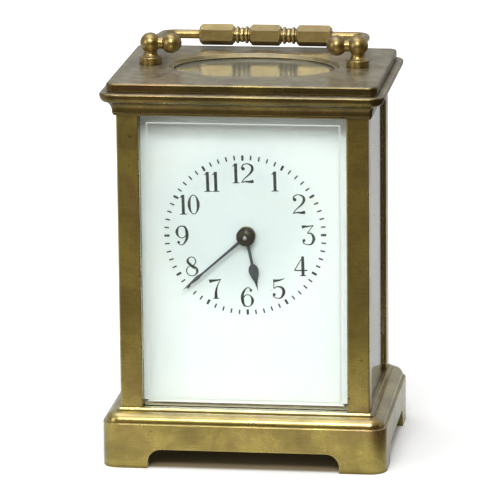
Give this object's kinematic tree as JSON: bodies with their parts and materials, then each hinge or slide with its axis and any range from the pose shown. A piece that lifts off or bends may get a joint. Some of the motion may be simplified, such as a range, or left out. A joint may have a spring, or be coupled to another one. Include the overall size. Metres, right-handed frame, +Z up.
{
  "type": "mantel clock",
  "caption": "Glazed brass carriage clock with an enamel dial, folding carrying handle, hinged rear door and a wound movement with a platform lever escapement.",
  "frame": {"origin": "middle of the footprint, on the surface that the feet stand on", "axes": "+X to the right of the dial, +Y to the rear door, +Z up"},
  "size_m": [0.0824, 0.0648, 0.1217],
  "materials": {
    "case_brass": "aged, once polished",
    "movement_brass": "fine grained and lacquered",
    "gilt_brass": "polished",
    "steel": "polished",
    "blued_steel": "blued",
    "enamel": "glossy white enamel",
    "glass": "polished plate glass",
    "ruby": "polished jewel"
  },
  "bodies": {
    "root": {"base": "case_brass", "pillar_front_left": "case_brass", "pillar_front_right": "case_brass", "pillar_rear_left": "case_brass", "pillar_rear_right": "case_brass", "case_screws": "steel", "cornice": "case_brass", "top_glass": "glass", "front_glass": "glass", "side_glasses": "glass", "handle_posts": "case_brass", "handle_pivot_screws": "case_brass", "front_plate": "movement_brass", "back_plate": "movement_brass", "frame_pillars": "movement_brass", "plate_screws": "blued_steel", "movement_screws": "steel", "click_spring": "blued_steel", "click_screws": "blued_steel", "dial": "enamel", "platform_plate": "movement_brass", "platform_screws": "blued_steel", "escape_potence": "movement_brass", "lever_cock": "movement_brass", "balance_cock": "movement_brass", "cock_screws": "blued_steel", "jewels": "ruby"},
    "door": {"door_frame": "case_brass", "door_glass": "glass", "door_pins": "steel", "door_knob": "case_brass"},
    "handle": {"handle_bail": "case_brass", "handle_grip": "case_brass"},
    "minute": {"centre_arbor": "steel", "centre_wheel": "movement_brass", "cannon_pinion": "steel", "minute_hand": "blued_steel", "hand_collet": "blued_steel"},
    "hour": {"hour_wheel": "movement_brass", "hour_hand": "blued_steel"},
    "minute_work": {"minute_wheel": "movement_brass"},
    "setting": {"setting_arbor": "steel"},
    "intermediate": {"intermediate_arbor": "steel", "intermediate_wheel": "movement_brass"},
    "going_barrel": {"barrel": "movement_brass", "barrel_cap": "movement_brass", "mainspring": "blued_steel"},
    "winding": {"winding_arbor": "steel", "ratchet_wheel": "steel"},
    "pawl": {"click": "steel"},
    "third": {"third_arbor": "steel", "third_wheel": "movement_brass"},
    "contrate": {"contrate_arbor": "steel", "contrate_wheel": "movement_brass"},
    "escape": {"escape_pinion": "steel", "escape_wheel": "gilt_brass"},
    "pallets": {"lever": "steel"},
    "balance": {"balance_wheel": "gilt_brass", "hairspring": "blued_steel"},
    "regulator": {"regulator": "steel"}
  },
  "joints": [
    {"name": "handle_fold", "type": "hinge", "parent": "root", "child": "handle", "pos_m": [0, 0, 0.1187], "axis": [1, 0, 0], "range_deg": [0, 190]},
    {"name": "door_swing", "type": "hinge", "parent": "root", "child": "door", "pos_m": [0.02775, 0.0257, 0.06], "axis": [0, 0, -1], "range_deg": [0, 95]},
    {"name": "minute_turn", "type": "hinge", "parent": "root", "child": "minute", "pos_m": [0, 0, 0.06665], "axis": [0, 1, 0], "continuous": true},
    {"name": "hour_turn", "type": "hinge", "parent": "root", "child": "hour", "pos_m": [0, 0, 0.06665], "axis": [0, 1, 0], "continuous": true},
    {"name": "minute_work_turn", "type": "hinge", "parent": "root", "child": "minute_work", "pos_m": [0.00689, 0, 0.06986], "axis": [0, 1, 0], "continuous": true},
    {"name": "setting_turn", "type": "hinge", "parent": "root", "child": "setting", "pos_m": [0.01412, 0, 0.07323], "axis": [0, 1, 0], "continuous": true},
    {"name": "intermediate_turn", "type": "hinge", "parent": "root", "child": "intermediate", "pos_m": [0.00826, 0, 0.05535], "axis": [0, 1, 0], "continuous": true},
    {"name": "going_barrel_turn", "type": "hinge", "parent": "root", "child": "going_barrel", "pos_m": [-0.004, 0, 0.0383], "axis": [0, 1, 0], "continuous": true},
    {"name": "third_turn", "type": "hinge", "parent": "root", "child": "third", "pos_m": [-0.01094, 0, 0.07601], "axis": [0, 1, 0], "continuous": true},
    {"name": "contrate_turn", "type": "hinge", "parent": "root", "child": "contrate", "pos_m": [0, 0, 0.0815], "axis": [0, 1, 0], "continuous": true},
    {"name": "escape_turn", "type": "hinge", "parent": "root", "child": "escape", "pos_m": [0, -0.0024, 0.095], "axis": [0, 0, 1], "continuous": true},
    {"name": "winding_turn", "type": "hinge", "parent": "root", "child": "winding", "pos_m": [-0.004, 0, 0.0383], "axis": [0, -1, 0], "continuous": true},
    {"name": "click_lift", "type": "hinge", "parent": "root", "child": "pawl", "pos_m": [0.0042, 0.012, 0.0405], "axis": [0, 1, 0], "range_deg": [0, 10]},
    {"name": "lever_rock", "type": "hinge", "parent": "root", "child": "pallets", "pos_m": [0.0036, 0.0006, 0.095], "axis": [0, 0, 1], "range_deg": [-5, 5]},
    {"name": "balance_swing", "type": "hinge", "parent": "root", "child": "balance", "pos_m": [0.0074, 0.0037, 0.095], "axis": [0, 0, 1], "range_deg": [-270, 270], "stiffness_Nm_per_rad": 0.0000035},
    {"name": "regulator_set", "type": "hinge", "parent": "root", "child": "regulator", "pos_m": [0.0074, 0.0037, 0.095], "axis": [0, 0, 1], "range_deg": [-25, 25]}
  ],
  "couplings": [
    {"joint": "hour_turn", "follows": "minute_turn", "ratio": 0.083333},
    {"joint": "minute_work_turn", "follows": "minute_turn", "ratio": -0.33333},
    {"joint": "setting_turn", "follows": "minute_turn", "ratio": 0.83333},
    {"joint": "intermediate_turn", "follows": "minute_turn", "ratio": -0.16667},
    {"joint": "going_barrel_turn", "follows": "minute_turn", "ratio": 0.027778},
    {"joint": "third_turn", "follows": "minute_turn", "ratio": -8},
    {"joint": "contrate_turn", "follows": "minute_turn", "ratio": 60},
    {"joint": "escape_turn", "follows": "minute_turn", "ratio": 600}
  ]
}
